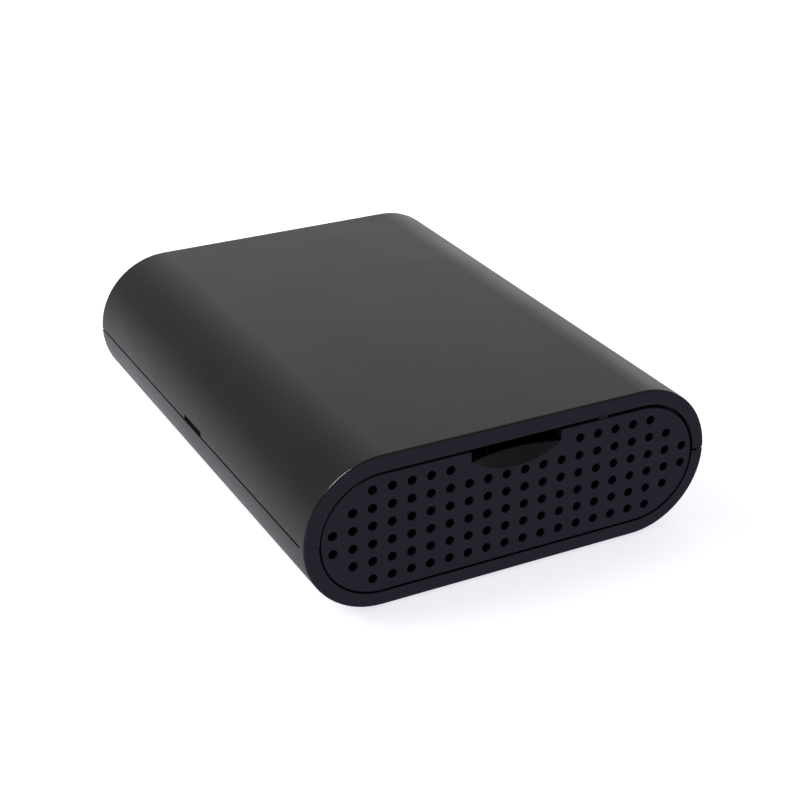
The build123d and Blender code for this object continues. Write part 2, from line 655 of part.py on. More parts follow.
PARTS = {
    "upper_shell": upper_shell,
    "lower_shell": lower_shell,
    "front_door": front_door,
    "rear_panel": rear_panel,
    "rubber_feet": rubber_feet,
    "main_board": main_board,
    "board_screws": board_screws,
    "fpga_chip": fpga_chip,
    "thermal_pad": thermal_pad,
    "heat_sink": heat_sink,
    "memory_chips": lambda: group([chip(*place) for place in MEMORY]),
    "usb_controller": lambda: chip(*USB_CONTROLLER),
    "flash_chip": lambda: leaded_chip(*FLASH, leads=4, along_x=False),
    "input_buffers": lambda: group(
        [leaded_chip(x, BUFFER_Y, 6.5, 4.4, 1.1, leads=10, along_x=True) for x in BUFFER_X]
    ),
    "resistor_arrays": lambda: group(
        [chip(x + dx, BUFFER_Y + 5.2, 3.2, 1.6, 0.6, edge=0.08) for x in BUFFER_X for dx in (-2.0, 2.0)]
    ),
    "protection_arrays": lambda: group(
        [leaded_chip(x, BUFFER_Y - 6.0, 2.9, 1.6, 1.0, leads=3, along_x=True, reach=0.6) for x in BUFFER_X]
    ),
    "clock_oscillator": lambda: chip(*OSCILLATOR, edge=0.3),
    "voltage_regulators": lambda: group([chip(*place) for place in REGULATORS]),
    "power_inductors": lambda: group([inductor(22.0, y) for y in (-19.0, -29.0)]),
    "tantalum_capacitors": lambda: group(
        [chip(x, y, 3.5, 2.8, 1.9, edge=0.25) for x in (2.0, -4.5) for y in (-19.0, -29.0)]
    ),
    "ceramic_capacitors": lambda: group(
        [chip(x, y, 0.8, 1.6, 0.8, edge=0.08) for x, y in decoupling_places()]
    ),
    "status_leds": status_leds,
    "light_pipes": light_pipes,
    "usb_port_shell": usb_port_shell,
    "usb_port_core": usb_port_core,
    "usb_port_contacts": usb_port_contacts,
    "probe_header_housing": probe_header_housing,
    "probe_header_pins": probe_header_pins,
    "service_header_base": service_header_base,
    "service_header_pins": service_header_pins,
}

os.makedirs("parts", exist_ok=True)
for name, make in PARTS.items():
    export_step(make(), f"parts/{name}.step")
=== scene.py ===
import json
import math
import random

import bmesh
import bpy
from mathutils import Matrix, Vector


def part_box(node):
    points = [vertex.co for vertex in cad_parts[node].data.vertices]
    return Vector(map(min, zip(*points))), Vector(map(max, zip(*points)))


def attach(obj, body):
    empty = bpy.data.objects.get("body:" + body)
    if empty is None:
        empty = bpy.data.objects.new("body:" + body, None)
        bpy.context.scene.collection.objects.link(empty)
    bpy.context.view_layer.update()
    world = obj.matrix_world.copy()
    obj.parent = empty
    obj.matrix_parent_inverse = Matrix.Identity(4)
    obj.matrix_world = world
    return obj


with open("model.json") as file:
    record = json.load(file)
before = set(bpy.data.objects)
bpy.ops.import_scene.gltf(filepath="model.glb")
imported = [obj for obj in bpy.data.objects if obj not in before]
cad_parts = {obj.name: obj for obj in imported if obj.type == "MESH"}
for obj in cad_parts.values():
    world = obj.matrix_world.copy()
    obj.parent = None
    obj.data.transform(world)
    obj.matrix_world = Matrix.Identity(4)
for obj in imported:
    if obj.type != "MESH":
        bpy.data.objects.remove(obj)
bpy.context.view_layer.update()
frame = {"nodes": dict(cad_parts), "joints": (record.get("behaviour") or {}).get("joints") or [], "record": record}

MM = 0.001
NODES = frame["nodes"]
BODY_OF = {node: body for body, nodes in frame["record"]["behaviour"]["bodies"].items() for node in nodes}
SLOT_OF = {part["node"]: part["material_slot"] for part in frame["record"]["subparts"]}
BOARD_LOW, BOARD_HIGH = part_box("main_board")
BOARD_TOP = BOARD_HIGH.z
CASE_LOW, CASE_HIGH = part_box("upper_shell")
door_low, door_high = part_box("front_door")


# ---- Node helpers -----------------------------------------------------------------------------
class Graph:
    """A material's node tree with short calls for the nodes used here."""

    def __init__(self, name, color, roughness, **sockets):
        self.material = bpy.data.materials.new(name)
        self.material.use_nodes = True
        self.tree = self.material.node_tree
        self.nodes = self.tree.nodes
        self.shader = self.nodes["Principled BSDF"]
        self.shader.inputs["Base Color"].default_value = (*color[:3], 1.0)
        self.shader.inputs["Roughness"].default_value = roughness
        for key, value in sockets.items():
            self.shader.inputs[key.replace("_", " ")].default_value = value
        texture = self.nodes.new("ShaderNodeTexCoord")
        self.coords = texture.outputs["Object"]
        self.normal = texture.outputs["Normal"]

    def link(self, a, b):
        self.tree.links.new(a, b)

    def noise(self, scale, detail=3.0, roughness=0.5, vector=None):
        node = self.nodes.new("ShaderNodeTexNoise")
        node.inputs["Scale"].default_value = scale
        node.inputs["Detail"].default_value = detail
        node.inputs["Roughness"].default_value = roughness
        self.link(vector or self.coords, node.inputs["Vector"])
        return node.outputs["Fac"]

    def cells(self, scale, output="Distance"):
        node = self.nodes.new("ShaderNodeTexVoronoi")
        node.inputs["Scale"].default_value = scale
        self.link(self.coords, node.inputs["Vector"])
        return node.outputs[output]

    def stretched(self, x, y, z):
        node = self.nodes.new("ShaderNodeMapping")
        node.inputs["Scale"].default_value = (x, y, z)
        self.link(self.coords, node.inputs["Vector"])
        return node.outputs["Vector"]

    def axis(self, vector, letter):
        node = self.nodes.new("ShaderNodeSeparateXYZ")
        self.link(vector, node.inputs["Vector"])
        return node.outputs[letter]

    def span(self, value, low, high, to_low, to_high, smooth=False):
        node = self.nodes.new("ShaderNodeMapRange")
        if smooth:
            node.interpolation_type = "SMOOTHSTEP"
        node.inputs["From Min"].default_value = low
        node.inputs["From Max"].default_value = high
        node.inputs["To Min"].default_value = to_low
        node.inputs["To Max"].default_value = to_high
        self.link(value, node.inputs["Value"])
        return node.outputs["Result"]

    def math(self, operation, a, b=0.0):
        node = self.nodes.new("ShaderNodeMath")
        node.operation = operation
        for socket, value in zip(node.inputs, (a, b)):
            if isinstance(value, (int, float)):
                socket.default_value = value
            else:
                self.link(value, socket)
        return node.outputs["Value"]

    def mix(self, factor, a, b):
        node = self.nodes.new("ShaderNodeMix")
        node.data_type = "RGBA"
        self.link(factor, node.inputs["Factor"])
        for index, value in ((6, a), (7, b)):
            if isinstance(value, (tuple, list)):
                node.inputs[index].default_value = (*value[:3], 1.0)
            else:
                self.link(value, node.inputs[index])
        return node.outputs[2]

    def color(self, value):
        self.link(value, self.shader.inputs["Base Color"])

    def rough(self, value):
        self.link(value, self.shader.inputs["Roughness"])

    def bump(self, height, distance, strength=1.0):
        node = self.nodes.new("ShaderNodeBump")
        node.inputs["Strength"].default_value = strength
        node.inputs["Distance"].default_value = distance
        self.link(height, node.inputs["Height"])
        self.link(node.outputs["Normal"], self.shader.inputs["Normal"])


def shade(color, factor):
    return tuple(c * factor for c in color)


# ---- Materials ----------------------------------------------------------------------------------
def case_plastic(name, color, roughness, specular=0.16, grain=0.00001):
    """Satin ABS: fine grain, soft blotches, burnished end edges and a few specks of dust on top."""
    g = Graph(name, color, roughness, Specular_IOR_Level=specular)
    fine = g.noise(2600.0, 2.0)
    soft = g.noise(60.0, 3.0)
    rough = g.math(
        "ADD", g.span(soft, 0.3, 0.7, roughness - 0.03, roughness + 0.03), g.span(fine, 0.3, 0.7, -0.03, 0.03)
    )
    facing = g.math("ABSOLUTE", g.axis(g.normal, "Y"))
    edge = g.math("MULTIPLY", g.span(facing, 0.15, 0.5, 0.0, 1.0), g.span(facing, 0.75, 0.98, 1.0, 0.0))
    rough = g.math("SUBTRACT", rough, g.math("MULTIPLY", edge, 0.16))
    g.rough(rough)
    blotched = g.mix(g.span(soft, 0.3, 0.7, 0.0, 1.0), shade(color, 0.94), shade(color, 1.06))
    up = g.span(g.axis(g.normal, "Z"), 0.8, 0.95, 0.0, 1.0)
    speck = g.math(
        "MULTIPLY", g.span(g.cells(330.0), 0.03, 0.045, 1.0, 0.0), g.span(g.noise(35.0), 0.58, 0.62, 0.0, 1.0)
    )
    g.color(g.mix(g.math("MULTIPLY", speck, up), blotched, (0.05, 0.05, 0.05)))
    g.bump(fine, grain, 0.6)
    return g.material


def foot_rubber():
    g = Graph("foot_rubber", (0.012, 0.012, 0.012), 0.85, Specular_IOR_Level=0.25)
    grain = g.noise(3000.0, 4.0, 0.7)
    dusty = g.noise(400.0, 4.0)
    g.color(g.mix(g.span(dusty, 0.45, 0.75, 0.0, 1.0), (0.012, 0.012, 0.012), (0.04, 0.038, 0.036)))
    g.rough(g.span(grain, 0.3, 0.7, 0.75, 0.95))
    g.bump(grain, 0.00004)
    return g.material


def board_laminate():
    """Green solder mask on the faces, bare glass weave on the sawn edges."""
    mask = (0.006, 0.09, 0.032)
    g = Graph("board_laminate", mask, 0.28, Coat_Weight=0.3, Coat_Roughness=0.12)
    weave = g.noise(1.0, 2.0, vector=g.stretched(900.0, 2600.0, 2600.0))
    cross = g.noise(1.0, 2.0, vector=g.stretched(2600.0, 900.0, 2600.0))
    both = g.math("ADD", weave, cross)
    planes = g.span(g.noise(70.0, 1.0), 0.49, 0.51, 0.0, 1.0)
    face = g.mix(planes, shade(mask, 0.8), shade(mask, 1.2))
    sawn = g.mix(g.span(both, 0.8, 1.2, 0.0, 1.0), (0.22, 0.2, 0.1), (0.4, 0.37, 0.2))
    side = g.span(g.math("ABSOLUTE", g.axis(g.normal, "Z")), 0.3, 0.6, 1.0, 0.0)
    g.color(g.mix(side, face, sawn))
    g.rough(g.math("ADD", g.span(both, 0.8, 1.2, 0.24, 0.32), g.math("MULTIPLY", side, 0.4)))
    g.bump(both, 0.00001)
    return g.material


def moulded(name, color, roughness, spread=0.05, grain=2200.0, bump=0.00001, vary=0.1, **sockets):
    """Moulded resin, nylon or ceramic with a fine grain and slightly uneven colour."""
    g = Graph(name, color, roughness, **sockets)
    fine = g.noise(grain, 4.0, 0.6)
    soft = g.noise(grain / 12.0, 2.0)
    g.color(g.mix(g.span(soft, 0.3, 0.7, 0.0, 1.0), shade(color, 1.0 - vary), shade(color, 1.0 + vary)))
    g.rough(g.span(fine, 0.3, 0.7, roughness - spread, roughness + spread))
    g.bump(fine, bump, 0.7)
    return g.material


def metal(name, color, roughness, along=(400.0, 6000.0, 6000.0), vary=0.12, **sockets):
    """Rolled or plated metal with fine streaks and slight tarnish."""
    g = Graph(name, color, roughness, Metallic=1.0, **sockets)
    streak = g.noise(1.0, 3.0, vector=g.stretched(*along))
    stain = g.noise(500.0, 3.0)
    g.color(g.mix(g.span(stain, 0.35, 0.7, 0.0, 1.0), shade(color, 1.0 + vary / 2), shade(color, 1.0 - vary)))
    g.rough(
        g.math(
            "ADD", g.span(streak, 0.3, 0.7, roughness - 0.06, roughness + 0.06),
            g.span(stain, 0.3, 0.7, 0.0, 0.08)
        )
    )
    g.bump(streak, 0.000004)
    return g.material


def light_pipe():
    g = Graph("light_pipe_clear", (0.93, 0.95, 0.96), 0.08, IOR=1.49, Transmission_Weight=0.85)
    swirl = g.noise(900.0, 3.0)
    g.rough(g.span(swirl, 0.3, 0.7, 0.04, 0.16))
    g.bump(swirl, 0.000006)
    return g.material


MATERIALS = {
    "case_plastic": case_plastic("case_plastic", (0.0085, 0.0085, 0.0085), 0.36),
    # The door plastic is the case plastic made a little darker and bluer: painted shade for the dim, bluish light
    # that falls on the front.
    "door_plastic": case_plastic("door_plastic", (0.0082, 0.0082, 0.0096), 0.40),
    "panel_plastic": case_plastic("panel_plastic", (0.009, 0.009, 0.0094), 0.42),
    "foot_rubber": foot_rubber(),
    "board_laminate": board_laminate(),
    "screw_steel": metal("screw_steel", (0.55, 0.56, 0.58), 0.3),
    "chip_epoxy": moulded("chip_epoxy", (0.018, 0.018, 0.019), 0.55, 0.08, 3500.0, 0.000015, 0.15),
    "thermal_rubber": moulded("thermal_rubber", (0.28, 0.34, 0.4), 0.8, 0.08, 2500.0, 0.00003, 0.08),
    "heat_sink_aluminium": metal("heat_sink_aluminium", (0.045, 0.045, 0.05), 0.42, (6000.0, 300.0, 6000.0)),
    "resistor_ceramic": moulded("resistor_ceramic", (0.02, 0.02, 0.024), 0.25, 0.04, 1800.0, 0.000005),
    "can_metal": metal("can_metal", (0.62, 0.6, 0.55), 0.26),
    "inductor_ferrite": moulded("inductor_ferrite", (0.07, 0.07, 0.074), 0.6, 0.1, 2600.0, 0.00003, 0.2),
    "tantalum_epoxy": moulded("tantalum_epoxy", (0.62, 0.3, 0.03), 0.35, 0.05, 2200.0, 0.00001),
    "capacitor_ceramic": moulded("capacitor_ceramic", (0.3, 0.19, 0.1), 0.35, 0.06, 2600.0, 0.000008),
    "led_resin": moulded("led_resin", (0.75, 0.78, 0.66), 0.3, 0.05, 2200.0, 0.000008, 0.04),
    "light_pipe_clear": light_pipe(),
    "connector_steel": metal("connector_steel", (0.62, 0.62, 0.61), 0.24, (6000.0, 500.0, 6000.0)),
    "connector_white": moulded("connector_white", (0.7, 0.69, 0.64), 0.45, 0.06, 1900.0, 0.000012, 0.03),
    "connector_black": moulded("connector_black", (0.014, 0.014, 0.014), 0.42, 0.06, 1900.0, 0.000015),
    "contact_gold": metal("contact_gold", (0.83, 0.55, 0.19), 0.22),
}
SOLDER = metal("solder", (0.6, 0.6, 0.6), 0.3, (1500.0, 1500.0, 1500.0))
BRASS_PLATE = metal("plated_copper", (0.85, 0.58, 0.25), 0.25, (2500.0, 2500.0, 2500.0))
SILKSCREEN = moulded("silkscreen_ink", (0.75, 0.77, 0.74), 0.6, 0.08, 3000.0, 0.000008, 0.06)
COVERED_COPPER = moulded("masked_copper", (0.016, 0.17, 0.06), 0.27, 0.04, 1500.0, 0.000004, 0.1)
# Near-black painted shade for the strips that stand in for the shade inside the USB shell's slots and seam.
PAINTED_SLOT_SHADE = moulded("painted_slot_shade", (0.01, 0.01, 0.01), 0.6, 0.08, 2000.0, 0.00001)


def assign(obj, material):
    obj.data.materials.clear()
    obj.data.materials.append(material)


for node, obj in NODES.items():
    assign(obj, MATERIALS[SLOT_OF[node]])


# ---- Mesh helpers ---------------------------------------------------------------------------------
def solids_of(node):
    """(lowest corner, highest corner) of each separate solid of a CAD node, ordered along x, then y."""
    obj = NODES[node]
    places = [obj.matrix_world @ vertex.co for vertex in obj.data.vertices]
    keys = [tuple(round(c * 1e6) for c in place) for place in places]
    parent = {key: key for key in keys}

    def root(key):
        while parent[key] != key:
            parent[key] = parent[parent[key]]
            key = parent[key]
        return key

    for polygon in obj.data.polygons:
        first = root(keys[polygon.vertices[0]])
        for index in polygon.vertices[1:]:
            parent[root(keys[index])] = first
    groups = {}
    for place, key in zip(places, keys):
        groups.setdefault(root(key), []).append(place)
    boxes = [
        tuple(Vector(pick(place[i] for place in group) for i in range(3)) for pick in (min, max))
        for group in groups.values()
    ]
    return sorted(boxes, key=lambda box: (round(box[0].x, 5), round(box[0].y, 5)))


def middle(box):
    return (box[0] + box[1]) / 2


def piece(name, bm, node, material, smooth=False):
    """Turns a mesh into a piece that rides with a CAD node's body."""
    bmesh.ops.recalc_face_normals(bm, faces=bm.faces)
    mesh = bpy.data.meshes.new(name)
    bm.to_mesh(mesh)
    bm.free()
    for polygon in mesh.polygons:
        polygon.use_smooth = smooth
    obj = bpy.data.objects.new(name, mesh)
    bpy.context.scene.collection.objects.link(obj)
    assign(obj, material)
    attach(obj, BODY_OF[node])
    return obj


def add_block(bm, low, high, bevel):
    """A box with rounded edges."""
    low, high = Vector(low), Vector(high)
    place = Matrix.Translation((low + high) / 2) @ Matrix.Diagonal((*(high - low), 1.0))
    verts = bmesh.ops.create_cube(bm, size=1.0, matrix=place)["verts"]
    edges = list({edge for vertex in verts for edge in vertex.link_edges})
    bmesh.ops.bevel(bm, geom=edges, offset=bevel, segments=2, profile=0.5, affect="EDGES")


def add_lathe(bm, profile, centre, turn=Matrix.Identity(3), segments=20):
    """A turned solid from (radius, height) pairs, closed on its axis or on itself."""
    rings = []
    for radius, height in profile:
        steps = 1 if radius == 0 else segments
        angles = [2 * math.pi * i / segments for i in range(steps)]
        rings.append(
            [
                bm.verts.new(
                    Vector(centre) + turn @ Vector((radius * math.cos(a), radius * math.sin(a), height))
                )
                for a in angles
            ]
        )
    pairs = list(zip(rings, rings[1:]))
    if len(rings[0]) > 1:
        pairs.append((rings[-1], rings[0]))
    for a, b in pairs:
        for i in range(segments):
            j = (i + 1) % segments
            corners = [a[i % len(a)], a[j % len(a)], b[j % len(b)], b[i % len(b)]]
            bm.faces.new(list(dict.fromkeys(corners)))


def add_strip(bm, points, width, low, high, closed=False):
    """A flat strip along a line of (x, y) points with mitred corners, between two heights."""
    points = [Vector(p) for p in points]
    count = len(points)
    rows = []
    for i, point in enumerate(points):
        before = point - points[i - 1] if closed or i else points[1] - point
        after = points[(i + 1) % count] - point if closed or i + 1 < count else before
        before, after = before.normalized(), after.normalized()
        along = (before + after).normalized()
        side = Vector((-along.y, along.x))
        reach = width / 2 / max(0.5, side.dot(Vector((-after.y, after.x))))
        corners = ((reach, low), (-reach, low), (-reach, high), (reach, high))
        rows.append([bm.verts.new((*(point + side * s), z)) for s, z in corners])
    for a, b in list(zip(rows, rows[1:])) + ([(rows[-1], rows[0])] if closed else []):
        for i in range(4):
            j = (i + 1) % 4
            bm.faces.new((a[i], a[j], b[j], b[i]))
    if not closed:
        bm.faces.new(rows[0])
        bm.faces.new(rows[-1])


def add_wedge(bm, low, high, toward):
    """A solder fillet: a box whose far end, in the direction toward, slopes down and narrows."""
    low, high = Vector(low), Vector(high)
    verts = {}
    for x in (0, 1):
        for y in (0, 1):
            for z in (0, 1):
                verts[x, y, z] = bm.verts.new(
                    Vector((high[i] if c else low[i]) for i, c in enumerate((x, y, z)))
                )
    axis = 0 if toward[0] else 1
    far = 1 if toward[axis] > 0 else 0
    centre = (low + high) / 2
    for key, vertex in verts.items():
        if key[axis] == far:
            vertex.co[1 - axis] += (centre[1 - axis] - vertex.co[1 - axis]) * 0.2
            if key[2]:
                vertex.co.z = low.z + (high.z - low.z) * 0.2
    for a in range(3):
        b, c = (a + 1) % 3, (a + 2) % 3
        for end in (0, 1):
            ring = []
            for u, v in ((0, 0), (1, 0), (1, 1), (0, 1)):
                key = [0, 0, 0]
                key[a], key[b], key[c] = end, u, v
                ring.append(verts[tuple(key)])
            bm.faces.new(ring)


def outline(box, margin):
    """The four corners of a box's plan with a margin."""
    low, high = box
    x0, x1, y0, y1 = low.x - margin, high.x + margin, low.y - margin, high.y + margin
    return [(x0, y0), (x1, y0), (x1, y1), (x0, y1)]


# ---- Board details ----------------------------------------------------------------------------------
UNDER = BOARD_TOP - 0.01 * MM
TRACE_TOP = BOARD_TOP + 0.03 * MM
PAD_TOP = BOARD_TOP + 0.045 * MM
INK_TOP = BOARD_TOP + 0.04 * MM
SINK_LOW, SINK_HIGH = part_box("heat_sink")
FPGA_LOW, FPGA_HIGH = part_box("fpga_chip")
BUFFERS = solids_of("input_buffers")
GUARDS = solids_of("protection_arrays")
ARRAYS = solids_of("resistor_arrays")
MEMORY = solids_of("memory_chips")
CAPACITORS = solids_of("ceramic_capacitors")
TANTALUMS = solids_of("tantalum_capacitors")
INDUCTORS = solids_of("power_inductors")
REGULATORS = solids_of("voltage_regulators")
LEDS = solids_of("status_leds")
PROBE_PINS = solids_of("probe_header_pins")
SERVICE_PINS = solids_of("service_header_pins")
SCREWS = solids_of("board_screws")
USB_TAILS = [box for box in solids_of("usb_port_contacts") if box[0].z < BOARD_LOW.z]
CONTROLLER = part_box("usb_controller")
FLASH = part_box("flash_chip")
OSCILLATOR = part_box("clock_oscillator")


def lead_rows(box, count, width, side_gap=0.5 * MM):
    """x of each lead along a package of that body width."""
    first = middle(box).x - width / 2 + side_gap
    return [first + (width - 2 * side_gap) * i / (count - 1) for i in range(count)]


BUFFER_LEADS = [(box, lead_rows(box, 10, 6.5 * MM)) for box in BUFFERS]
GUARD_LEADS = [(box, lead_rows(box, 3, 2.9 * MM)) for box in GUARDS]

# Pads and solder
pads = bmesh.new()
solder = bmesh.new()
PAD_MARGIN = 0.25 * MM
for box, rows in BUFFER_LEADS + GUARD_LEADS:
    for x in rows:
        for edge_y, side in ((box[0].y, -1), (box[1].y, 1)):
            inner, outer = edge_y - side * 0.9 * MM, edge_y + side * PAD_MARGIN
            ys = sorted((inner, outer))
            add_block(pads, (x - 0.18 * MM, ys[0], UNDER), (x + 0.18 * MM, ys[1], PAD_TOP), 0.02 * MM)
            ys = sorted((edge_y - side * 0.05 * MM, edge_y + side * 0.2 * MM))
            add_wedge(
                solder, (x - 0.13 * MM, ys[0], BOARD_TOP), (x + 0.13 * MM, ys[1], BOARD_TOP + 0.18 * MM),
                (0, side)
            )
for i in range(4):
    y = FLASH[0].y + 0.5 * MM + (FLASH[1].y - FLASH[0].y - 1.0 * MM) * i / 3
    for edge_x, side in ((FLASH[0].x, -1), (FLASH[1].x, 1)):
        xs = sorted((edge_x - side * 0.9 * MM, edge_x + side * PAD_MARGIN))
        add_block(pads, (xs[0], y - 0.2 * MM, UNDER), (xs[1], y + 0.2 * MM, PAD_TOP), 0.02 * MM)
        xs = sorted((edge_x - side * 0.05 * MM, edge_x + side * 0.2 * MM))
        add_wedge(
            solder, (xs[0], y - 0.13 * MM, BOARD_TOP), (xs[1], y + 0.13 * MM, BOARD_TOP + 0.18 * MM),
            (side, 0)
        )
for box in CAPACITORS:
    for edge_y, side in ((box[0].y, -1), (box[1].y, 1)):
        ys = sorted((edge_y - side * 0.3 * MM, edge_y + side * 0.42 * MM))
        add_block(pads, (box[0].x - 0.1 * MM, ys[0], UNDER), (box[1].x + 0.1 * MM, ys[1], PAD_TOP), 0.02 * MM)
        ys = sorted((edge_y - side * 0.02 * MM, edge_y + side * 0.34 * MM))
        add_wedge(
            solder, (box[0].x + 0.02 * MM, ys[0], BOARD_TOP),
            (box[1].x - 0.02 * MM, ys[1], BOARD_TOP + 0.5 * MM), (0, side)
        )
for box in TANTALUMS + INDUCTORS + LEDS:
    inset = (box[1].y - box[0].y) * 0.18
    for edge_x, side in ((box[0].x, -1), (box[1].x, 1)):
        xs = sorted((edge_x - side * 0.3 * MM, edge_x + side * 0.6 * MM))
        add_block(pads, (xs[0], box[0].y + inset, UNDER), (xs[1], box[1].y - inset, PAD_TOP), 0.02 * MM)
        xs = sorted((edge_x - side * 0.02 * MM, edge_x + side * 0.45 * MM))
        height = min(0.6 * MM, (box[1].z - box[0].z) * 0.4)
        add_wedge(
            solder,
            (xs[0], box[0].y + inset * 1.3, BOARD_TOP),
            (xs[1], box[1].y - inset * 1.3, BOARD_TOP + height),
            (side, 0),
        )
for box, per_side in [(CONTROLLER, 16), (REGULATORS[0], 7), (REGULATORS[1], 7)]:
    centre = middle(box)
    half = (box[1].x - box[0].x) / 2
    for i in range(per_side):
        t = (i / (per_side - 1) - 0.5) * 2 * (half - 0.6 * MM)
        for side in (-1, 1):
            ys = sorted((centre.y + side * (half - 0.1 * MM), centre.y + side * (half + 0.35 * MM)))
            add_block(
                pads, (centre.x + t - 0.13 * MM, ys[0], UNDER), (centre.x + t + 0.13 * MM, ys[1], PAD_TOP),
                0.015 * MM
            )
            xs = sorted((centre.x + side * (half - 0.1 * MM), centre.x + side * (half + 0.35 * MM)))
            add_block(
                pads, (xs[0], centre.y + t - 0.13 * MM, UNDER), (xs[1], centre.y + t + 0.13 * MM, PAD_TOP),
                0.015 * MM
            )
centre = middle(OSCILLATOR)
for sx in (-1, 1):
    for sy in (-1, 1):
        x, y = centre.x + sx * 1.9 * MM, centre.y + sy * 1.45 * MM
        add_block(
            pads, (x - 0.6 * MM, y - 0.45 * MM, UNDER), (x + 0.6 * MM, y + 0.45 * MM, PAD_TOP), 0.02 * MM
        )


def ring_profile(inner, outer, low, high, ease=0.012 * MM):
    """Section of a flat ring with its top edges eased."""
    return [
        (inner, low), (inner, high - ease), (inner + ease, high), (outer - ease, high), (outer, high - ease),
        (outer, low)
    ]


THROUGH = [(middle(b).x, b[0].y + 0.32 * MM) for b in PROBE_PINS]
THROUGH += [(middle(b).x, middle(b).y) for b in SERVICE_PINS + USB_TAILS]
for x, y in THROUGH:
    add_lathe(pads, ring_profile(0.5 * MM, 0.85 * MM, UNDER, PAD_TOP), (x, y, 0))
    cone = [(0, -0.75), (0.38, -0.72), (0.45, -0.5), (0.62, -0.2), (0.85, -0.04), (0.85, 0.01), (0, 0.01)]
    add_lathe(solder, [(r * MM, h * MM) for r, h in cone], (x, y, BOARD_LOW.z))
for box in SCREWS:
    add_lathe(
        pads, ring_profile(1.42 * MM, 3.05 * MM, UNDER, PAD_TOP), (middle(box).x, middle(box).y, 0),
        segments=40
    )
FIDUCIALS = ((-32.2, -31.0), (32.2, -32.5), (-32.2, 20.0))
for x, y in FIDUCIALS:
    disc = [
        (0, UNDER), (0.5 * MM, UNDER), (0.5 * MM, PAD_TOP - 0.01 * MM), (0.48 * MM, PAD_TOP), (0, PAD_TOP)
    ]
    add_lathe(pads, disc, (x * MM, y * MM, 0))
piece("board_pads", pads, "main_board", BRASS_PLATE)
piece("board_solder", solder, "main_board", SOLDER)

# Copper tracks under the solder mask
tracks = bmesh.new()
ends = []


def track(points, width=0.22, via_at_end=False):
    """A track along points in millimetres."""
    points = [(x * MM, y * MM) for x, y in points]
    add_strip(tracks, points, width * MM, UNDER, TRACE_TOP)
    if via_at_end:
        ends.append(points[-1])


array_x = [middle(box).x / MM for box in ARRAYS]
array_low, array_high = ARRAYS[0][0].y / MM, ARRAYS[0][1].y / MM
probe_x = sorted({round(middle(box).x / MM, 3) for box in PROBE_PINS})
pin_row = min(box[0].y for box in PROBE_PINS) / MM
for i, x in enumerate(probe_x):
    to_x = array_x[0] - 1.2 + (array_x[-1] - array_x[0] + 2.4) * i / (len(probe_x) - 1)
    track([(x, pin_row - 0.1), (x, pin_row - 0.9), (to_x, array_high + 0.9), (to_x, array_high + 0.1)])
for i, x in enumerate(array_x):
    leads = BUFFER_LEADS[i // 2][1]
    for k in range(4):
        lead_x = leads[(i % 2) * 5 + k] / MM
        start_x = x - 1.2 + 0.8 * k
        track(
            [
                (start_x, array_low + 0.1), (start_x, array_low - 0.3), (lead_x, BUFFERS[0][1].y / MM + 0.3),
                (lead_x, BUFFERS[0][1].y / MM)
            ],
            0.18
        )
for (box, leads), (guard, guard_leads) in zip(BUFFER_LEADS, GUARD_LEADS):
    for x, lead in zip(guard_leads, (leads[2], leads[4], leads[7])):
        low, high = guard[1].y / MM, box[0].y / MM
        track([(x / MM, low), (x / MM, low + 0.3), (lead / MM, high - 0.3), (lead / MM, high)], 0.18)
guard_low = GUARDS[0][0].y / MM
for x in GUARD_LEADS[0][1]:
    x /= MM
    track(
        [(x, guard_low), (x, guard_low - 1.5), (x - 3.0, guard_low - 4.5), (x - 3.0, -10.0 - (x + 26.0))],
        via_at_end=True
    )
for x in GUARD_LEADS[1][1]:
    x /= MM
    track(
        [
            (x, guard_low), (x, guard_low - 1.2), (x + 1.5, guard_low - 2.7),
            (x + 1.5, guard_low - 4.0 - (x + 17.0))
        ],
        via_at_end=True
    )
for leads, to_x in ((GUARD_LEADS[2][1], -7.2), (GUARD_LEADS[3][1], 0.0)):
    for k, x in enumerate(leads):
        end_x = to_x + 0.55 * (k - 1)
        track(
            [
                (x / MM, guard_low), (x / MM, guard_low - 0.8), (end_x, guard_low - 2.4),
                (end_x, SINK_HIGH.y / MM - 2.0)
            ]
        )
for box in MEMORY:
    for k in range(13):
        y = box[0].y / MM + 0.9 + 0.93 * k
        y_end = middle(box).y / MM * 0.9 + (y - middle(box).y / MM) * 0.85
        track(
            [
                (box[1].x / MM - 0.4, y), (box[1].x / MM + 0.9, y), (SINK_LOW.x / MM - 0.9, y_end),
                (SINK_LOW.x / MM + 1.0, y_end)
            ],
            0.18
        )
for k in range(4):
    y = CONTROLLER[0].y / MM + 4.1 + 0.7 * k
    x = 8.1 - 0.6 * k
    track([(CONTROLLER[0].x / MM + 0.2, y), (x + 1.0, y), (x, y - 1.0), (x, SINK_HIGH.y / MM - 2.0)], 0.18)
tail_y = min(box[0].y for box in USB_TAILS) / MM
for side in (-1, 1):
    x = middle(USB_TAILS[0]).x / MM + 1.25 + side * 1.25
    pair_x = middle(CONTROLLER).x / MM + side * 0.3
    track([(x, tail_y), (x, tail_y - 1.0), (pair_x, tail_y - 3.2), (pair_x, CONTROLLER[1].y / MM - 0.2)], 0.2)
    track(
        [
            (middle(CONTROLLER).x / MM + side * 1.2, CONTROLLER[0].y / MM + 0.2),
            (middle(FLASH).x / MM + side * 1.2, FLASH[1].y / MM + 0.6)
        ],
        0.2, True
    )
for box, coil in zip(REGULATORS, INDUCTORS):
    y = middle(box).y / MM
    for dy, width in ((1.1, 1.3), (-1.1, 1.3)):
        track([(box[1].x / MM - 0.3, y + dy), (coil[0].x / MM + 0.2, y + dy)], width)
        track([(box[0].x / MM + 0.3, y + dy), (TANTALUMS[-1][1].x / MM + 0.2, y + dy * 0.6)], 1.1)
    track([(TANTALUMS[-1][0].x / MM - 0.1, y), (TANTALUMS[0][1].x / MM + 0.1, y)], 1.6)
